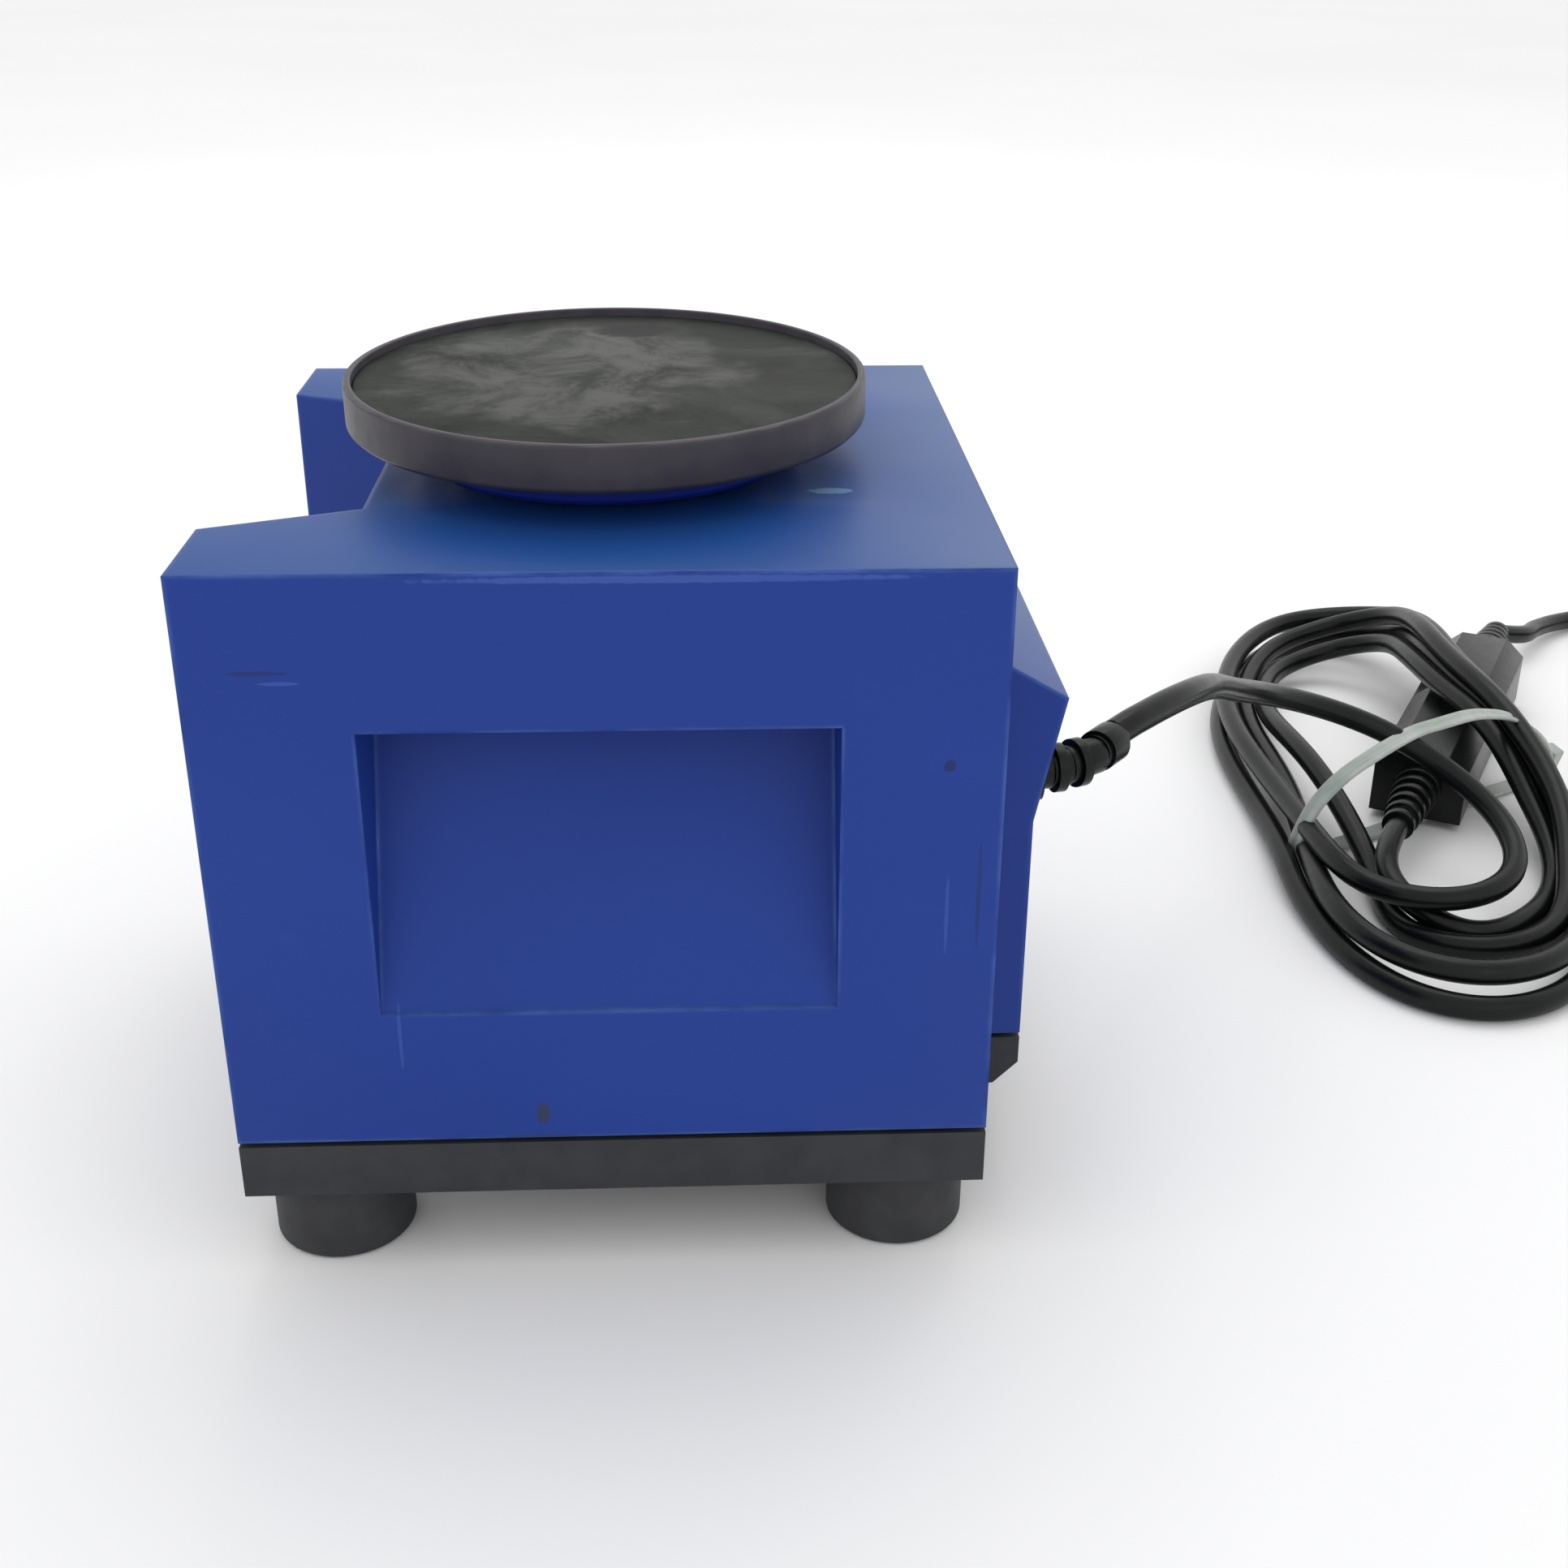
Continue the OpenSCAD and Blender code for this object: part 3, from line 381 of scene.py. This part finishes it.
# the six stations of the ring where each turn says how far it lies from the outermost one
STATIONS = (4, 7, 10, 14, 17, 20)
# each turn at those stations: shift in X, shift in Y, height
TURNS = [
    [(-0.030, -0.001, 0.0135), (-0.013, 0.007, 0.0125), (0, 0.003, 0.0105), (0, 0, 0.011), (0, 0, 0.008),
     (0, 0, LYING)],
    [(0, 0, LYING), (0, 0, LYING), (0, 0, LYING), (0.006, 0, LYING), (0.004, -0.003, LYING),
     (0, -0.007, LYING)],
    [(-0.007, 0, 0.0098), (-0.004, 0.001, 0.0098), (0, 0.013, LYING), (0.014, -0.001, 0.0098),
     (0.010, -0.003, 0.0098), (0, -0.008, 0.0098)],
    [(-0.024, 0.005, 0.0045), (-0.012, 0.025, 0.0036), (0, 0.018, 0.0085), (0.022, 0.002, 0.006),
     (0.017, -0.005, LYING), (0, -0.013, LYING)],
    [(-0.045, 0.008, LYING)]]
# from the coil up into the in-line plug's strain relief
LEAD_TAIL = [
    (-0.0425, 0.2180, 0.0036), (-0.0432, 0.2105, 0.0045), (-0.0470, 0.2038, 0.0070),
    (-0.0530, 0.1990, 0.0094), (-0.0600, 0.1967, 0.0112), (-0.0670, 0.1969, 0.0123),
    (-0.0730, 0.1993, 0.0129), (-0.0790, 0.2026, 0.0130), (-0.0855, 0.2063, 0.0130),
    (-0.0920, 0.2100, 0.0130)]
PAIR_START = Vector((-0.092, 0.210))
PAIR_HEADING = math.radians(150.5)
PAIR_Z = 0.013
PAIR_ALONG = Vector((math.cos(PAIR_HEADING), math.sin(PAIR_HEADING)))
PAIR_SPAN = (0.0305, 0.1455)    # where the plug and connector lie along their line
PAIR_HALF_W = 0.015
HUMP_HEIGHT = 0.0238    # how far they lift the coil's route
OVER_PAIR = 0.0271      # height of a strand that rests on the in-line plug or connector
TIE_FROM = Vector((-0.091, 0.175))
TIE_HEADING = math.radians(120)
TIE_ALONG = Vector((math.cos(TIE_HEADING), math.sin(TIE_HEADING)))
TIE_LEAN = math.radians(16)


def smoothstep(t):
    t = min(max(t, 0.0), 1.0)
    return t * t * (3 - 2 * t)


def beside(x, y, start, along):
    """Distance along a line on the floor, and distance from it."""
    p = Vector((x, y)) - start
    return p.dot(along), abs(p.x * along.y - p.y * along.x)


def hump(x, y):
    """How far the in-line plug and connector lift what crosses over them."""
    a, side = beside(x, y, PAIR_START, PAIR_ALONG)
    across = 1 - smoothstep((side - 0.014) / 0.046)
    return HUMP_HEIGHT * across * smoothstep((a - 0.006) / 0.034) * (1 - smoothstep((a - 0.144) / 0.055))


def coil_points():
    """Follow the ring turn after turn, shifted inwards and upwards as each turn asks."""
    n = len(COIL_RING)
    marks = [(turn * n + place, value) for turn, values in enumerate(TURNS)
             for place, value in zip(STATIONS, values)]
    points = []
    k = 0
    for i in range(marks[0][0], marks[-1][0] + 1):
        while k < len(marks) - 2 and i >= marks[k + 1][0]:
            k += 1
        t = smoothstep((i - marks[k][0]) / (marks[k + 1][0] - marks[k][0]))
        shift = Vector(marks[k][1]).lerp(Vector(marks[k + 1][1]), t)
        x, y = COIL_RING[i % n][0] + shift.x, COIL_RING[i % n][1] + shift.y
        points.append((x, y, shift.z + hump(x, y)))
    return points


def even_steps(points, step):
    points = np.array(points, float)
    along = np.r_[0, np.cumsum(np.linalg.norm(np.diff(points, axis=0), axis=1))]
    at = np.linspace(0, along[-1], int(along[-1] / step) + 1)
    return np.c_[[np.interp(at, along, points[:, k]) for k in range(3)]].T


def unbend(q, reach, tightest):
    """Ease every place where the line through three points bends more tightly than allowed."""
    a, b, c = q[:-2 * reach], q[reach:-reach], q[2 * reach:]
    ab, bc, ca = b - a, c - b, a - c
    area = np.linalg.norm(np.cross(ab, ca), axis=1)
    sides = np.linalg.norm(ab, axis=1) * np.linalg.norm(bc, axis=1) * np.linalg.norm(ca, axis=1)
    radius = sides / np.maximum(2 * area, 1e-12)
    ease = np.clip((tightest - radius) / tightest, 0, 1)[:, None]
    q[reach:-reach] = b + (0.5 * (a + c) - b) * 0.2 * ease


def apart(q):
    """How far each point has to move so that no two strands run through one another."""
    order = np.arange(len(q))
    between = q[:, None, :] - q[None, :, :]
    distance = np.linalg.norm(between, axis=2)
    near = (distance < TOUCH) & (np.abs(order[:, None] - order[None, :]) > NEIGHBOURS)
    push = np.where(near, (TOUCH - distance) * 0.8, 0) / np.maximum(distance, 1e-9)
    return (between * push[:, :, None]).sum(1) / np.maximum(near.sum(1), 1)[:, None]


def settled(points, first_length=0.262, rounds=260):
    """Let the strands push one another apart, rest on the floor and cross above the plug."""
    q = even_steps(points, STEP)
    n, first, tail = len(q), int(first_length / STEP), 15
    order = np.arange(n)
    # the tail is fixed, and the strand before it is less and less free
    freedom = np.clip((n - tail - order) / 30, 0, 1) ** 2
    for k in range(30):
        s = q.copy()
        s[1:-1] = q[1:-1] * 0.5 + (q[:-2] + q[2:]) * 0.25
        kept = 2 if k < 10 else first - 12
        s[:kept] = q[:kept]
        kept = 2 if k < 3 else tail
        s[-kept:] = q[-kept:]
        q = s
    along = np.array(PAIR_ALONG)
    tie_along = np.array(TIE_ALONG)
    for _ in range(rounds):
        lap = np.zeros_like(q)
        lap[1:-1] = q[:-2] + q[2:] - 2 * q[1:-1]
        bend = np.zeros_like(q)
        bend[1:-1] = lap[:-2] + lap[2:] - 2 * lap[1:-1]
        s = q - 0.06 * bend
        s[1:-1] += 0.02 * lap[1:-1]
        unbend(s[:n - 34], 3, TIGHTEST)
        s += apart(s)
        from_tie = s[:, :2] - np.array(TIE_FROM)
        tie_side = np.abs(from_tie[:, 0] * tie_along[1] - from_tie[:, 1] * tie_along[0])
        t = np.clip((tie_side - 0.004) / 0.022, 0, 1)
        s[:, 2] = np.maximum(s[:, 2], LYING + TIE_LIFT * (1 - t * t * (3 - 2 * t)))
        p = s[:, :2] - np.array(PAIR_START)
        a, side = p @ along, np.abs(p[:, 0] * along[1] - p[:, 1] * along[0])
        over = (a > PAIR_SPAN[0]) & (a < PAIR_SPAN[1]) & (side < PAIR_HALF_W)
        over &= (order > first) & (order < n - 12)
        s[over, 2] = np.maximum(s[over, 2], OVER_PAIR)
        s[:first] = q[:first]
        q = q + (s - q) * freedom[:, None]
    q = even_steps(q, LAST_STEP)
    for _ in range(3):
        q[2:-2] = q[2:-2] * 0.5 + (q[1:-3] + q[3:-1]) * 0.25
    for _ in range(8):
        move = apart(q)
        q[2:-2] += (move[1:-3] + move[2:-2] * 2 + move[3:-1]) * 0.25
    return [Vector(p) for p in q]


def relaxed(pts, rounds, keep_first=0, keep_last=0):
    """Each point moves towards the middle of its neighbours, so that the line bends gently."""
    pts = [Vector(p) for p in pts]
    for _ in range(rounds):
        pts = [p if i < keep_first or i >= len(pts) - keep_last or i in (0, len(pts) - 1)
               else p * 0.5 + (pts[i - 1] + pts[i + 1]) * 0.25 for i, p in enumerate(pts)]
    return pts


def cord_curve(name, pts, body="housing", replaces=(), slot="cord_rubber"):
    curve = bpy.data.curves.new(name, "CURVE")
    curve.dimensions = "3D"
    curve.bevel_depth = CORD_D / 2
    curve.bevel_resolution = 6
    curve.use_fill_caps = True
    curve.resolution_u = 6
    spline = curve.splines.new("BEZIER")
    spline.bezier_points.add(len(pts) - 1)
    for i, (point, co) in enumerate(zip(spline.bezier_points, pts)):
        a, b = Vector(pts[max(i - 1, 0)]), Vector(pts[min(i + 1, len(pts) - 1)])
        co = Vector(co)
        way = (b - a).normalized()
        point.co = co
        point.handle_left = co - way * (co - a).length / 3
        point.handle_right = co + way * (b - co).length / 3
    o = bpy.data.objects.new(name, curve)
    scene.collection.objects.link(o)
    curve.materials.append(MATERIALS[slot])
    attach(o, body)
    if replaces:
        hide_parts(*replaces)
    return o


def path_length(pts):
    return sum((Vector(b) - Vector(a)).length for a, b in zip(pts, pts[1:]))


lead_pts = settled(LEAD_ROUTE + coil_points() + LEAD_TAIL)
lead = cord_curve("device_lead", lead_pts, replaces=("power_lead", "lead_coil"))
print("lead length", round(path_length(lead_pts), 3))

# the supply lead leaves the connector, and is put away in a small coil outside the view
PAIR_LENGTH = 0.178
pair_end = (PAIR_START.x + PAIR_LENGTH * math.cos(PAIR_HEADING),
            PAIR_START.y + PAIR_LENGTH * math.sin(PAIR_HEADING), PAIR_Z)
SUPPLY_ROUTE = [
    pair_end, (-0.256, 0.312, 0.009), (-0.268, 0.320, 0.0065),
    (-0.280, 0.331, 0.0045), (-0.288, 0.345, 0.0034), (-0.291, 0.361, 0.00325),
    (-0.290, 0.377, 0.00325), (-0.286, 0.392, 0.00325), (-0.279, 0.405, 0.00325)]
SUPPLY_TAIL = [(-0.222, 0.449, 0.0164), (-0.208, 0.450, 0.017), (-0.195, 0.450, 0.017)]
RING = Vector((-0.236, 0.408))


def supply_points():
    pts = [Vector(p) for p in SUPPLY_ROUTE[:-1]]
    turns = 5.25
    steps = int(turns * 16)
    start = math.radians(172)
    for i in range(steps + 1):
        t = i / steps
        a = start - t * turns * 2 * math.pi
        turn = t * turns
        layer = min(int(turn / 2), 2)
        inner = (turn / 2 - layer) * 2
        r = 0.0423 - 0.0066 * smoothstep(inner - 0.55 if layer % 2 == 0 else 1.45 - inner)
        z = 0.00325 + 0.0065 * (layer + smoothstep((inner - 1.7) / 0.3) * (layer < 2))
        pts.append(Vector((RING.x + r * math.cos(a), RING.y + r * math.sin(a), z)))
    pts += [Vector(p) for p in SUPPLY_TAIL]
    return relaxed(pts, 2, 2, 2)


supply_pts = supply_points()
supply = cord_curve("supply_lead_cord", supply_pts, replaces=("supply_lead", "supply_coil"))
print("supply length", round(path_length(supply_pts), 3))


# ------------------------------------------------------------------ tie round the device lead's coil
def tie_band():
    """A ribbed plastic band round the coil, over the plug and the lead that arches in."""
    outline = [(0.0085, 0.0016), (0.0048, 0.0060), (0.0045, 0.0140), (0.0068, 0.0235), (0.0140, 0.0315),
               (0.0250, 0.0368), (0.0380, 0.0408), (0.0500, 0.0411), (0.0630, 0.0407), (0.0740, 0.0382),
               (0.0850, 0.0342), (0.0980, 0.0270), (0.1090, 0.0185), (0.1155, 0.0110), (0.1158, 0.0060),
               (0.1110, 0.0016), (0.0950, 0.0013), (0.0700, 0.0012), (0.0400, 0.0012), (0.0200, 0.0013)]
    across = Vector((TIE_ALONG.y * math.cos(TIE_LEAN), -TIE_ALONG.x * math.cos(TIE_LEAN),
                     -math.sin(TIE_LEAN)))
    rise = Vector((TIE_ALONG.y * math.sin(TIE_LEAN), -TIE_ALONG.x * math.sin(TIE_LEAN), math.cos(TIE_LEAN)))
    start = Vector((TIE_FROM.x, TIE_FROM.y, 0))
    loop = [start + Vector((TIE_ALONG.x, TIE_ALONG.y, 0)) * u + rise * v for u, v in outline]
    n = len(loop)
    fine = []
    for i in range(n):
        p0, p1, p2, p3 = (loop[(i + k) % n] for k in (-1, 0, 1, 2))
        for j in range(10):
            t = j / 10
            fine.append(0.5 * ((2 * p1) + (p2 - p0) * t + (2 * p0 - 5 * p1 + 4 * p2 - p3) * t * t
                               + (3 * p1 - p0 - 3 * p2 + p3) * t ** 3))
    half_w, thick, edge = 0.0024, 0.0012, 0.0004
    profile = [(-half_w, edge), (-half_w + edge, 0), (half_w - edge, 0), (half_w, edge),
               (half_w, thick - edge), (half_w - edge, thick), (0.0008, thick), (0.0004, thick - 0.0003),
               (-0.0004, thick - 0.0003), (-0.0008, thick), (-half_w + edge, thick),
               (-half_w, thick - edge)]
    verts, faces = [], []
    m, k = len(fine), len(profile)
    for i, p in enumerate(fine):
        way = (fine[(i + 1) % m] - fine[i - 1]).normalized()
        out = across.cross(way).normalized()
        if out.dot(p - (start + Vector((TIE_ALONG.x, TIE_ALONG.y, 0)) * 0.06 + rise * 0.02)) < 0:
            out = -out
        verts += [p + across * w + out * (h - thick) for w, h in profile]
    for i in range(m):
        j = (i + 1) % m
        faces += [(i * k + a, j * k + a, j * k + (a + 1) % k, i * k + (a + 1) % k) for a in range(k)]
    mesh = bpy.data.meshes.new("tie_band")
    mesh.from_pydata(verts, [], faces)
    b = bmesh.new()
    b.from_mesh(mesh)
    bmesh.ops.recalc_face_normals(b, faces=b.faces)
    b.to_mesh(mesh)
    b.free()
    for polygon in mesh.polygons:
        polygon.use_smooth = True
    sharp_by_angle(mesh, 40)
    new_piece("tie_band", mesh, "housing", "tie_plastic")
    # the head that the band is pulled through, at its far lower end
    head = eased_box("tie_head", (0.0046, 0.0070, 0.0056), 0.0007)
    axes = Matrix((Vector((TIE_ALONG.x, TIE_ALONG.y, 0)), rise, across)).transposed().to_4x4()
    place = start + Vector((TIE_ALONG.x, TIE_ALONG.y, 0)) * 0.1172 + rise * 0.0095
    head.transform(Matrix.Translation(place) @ axes)
    new_piece("tie_head", head, "housing", "tie_plastic", replaces=("coil_tie",))


def eased_box(name, size, edge):
    """A small block about the origin with its edges eased."""
    mesh = bpy.data.meshes.new(name)
    b = bmesh.new()
    bmesh.ops.create_cube(b, size=1)
    bmesh.ops.scale(b, vec=size, verts=b.verts)
    bmesh.ops.bevel(b, geom=list(b.edges), offset=edge, segments=2, affect="EDGES", profile=0.5)
    b.to_mesh(mesh)
    b.free()
    return mesh


tie_band()

# ------------------------------------------------------------------ pieces with eased edges
bevelled("upper_housing", "housing_shell", 0.0026, segments=4)
bevelled("base_tray", "base_tray_rounded", 0.0014)
bevelled("platform_hub", "hub_rounded", 0.0006, body="platform")
bevelled("dish", "dish_rounded", 0.0006, body="platform")
bevelled("dish_pad", "pad_rounded", 0.0005, body="platform")
bevelled("cord_gland", "gland_rounded", 0.0005)
bevelled("inline_plug", "plug_rounded", 0.0012)
bevelled("inline_connector", "connector_rounded", 0.0012)
for corner in ("front_left", "front_right", "rear_left", "rear_right"):
    bevelled("foot_" + corner, "foot_rounded_" + corner, 0.0012)
bevelled("wall_plug", "wall_plug_rounded", 0.0010)
bevelled("control_panel", "panel_rounded", 0.0004)
bevelled("switch_frame", "switch_frame_rounded", 0.0004)
bevelled("power_lamp", "lamp_rounded", 0.0004)


# ------------------------------------------------------------------ floor, light
def make_stage():
    s = Shader("floor", roughness=0.9, specular=0.2)
    s.colour(s.mix(s.ramp(s.noise(1.5, 3), 0.3, 0.7), (0.90, 0.90, 0.90), (0.92, 0.92, 0.92)))
    size = 12
    mesh = bpy.data.meshes.new("floor")
    corners = [(-size, -size, 0), (size, -size, 0), (size, size, 0), (-size, size, 0)]
    mesh.from_pydata(corners, [], [(0, 1, 2, 3)])
    mesh.materials.append(s.material)
    floor = bpy.data.objects.new("floor", mesh)
    scene.collection.objects.link(floor)
    world = bpy.data.worlds.new("studio")
    world.use_nodes = True
    world.node_tree.nodes["Background"].inputs["Color"].default_value = (1.0, 1.0, 1.0, 1)
    world.node_tree.nodes["Background"].inputs["Strength"].default_value = 1.0
    scene.world = world
    scene.view_settings.view_transform = "Standard"


def area_light(name, place, target, size, power):
    data = bpy.data.lights.new(name, "AREA")
    data.shape = "RECTANGLE"
    data.size, data.size_y = size
    data.energy = power
    light = bpy.data.objects.new(name, data)
    light.location = place
    light.rotation_euler = (Vector(target) - Vector(place)).to_track_quat("-Z", "Y").to_euler()
    scene.collection.objects.link(light)


make_stage()
area_light("back_top", (-0.8, 0.2, 1.6), (0, 0, 0.05), (1.1, 1.1), 6)
area_light("front_right", (1.5, 0.9, 1.1), (0, 0, 0.05), (1.4, 1.0), 1.5)
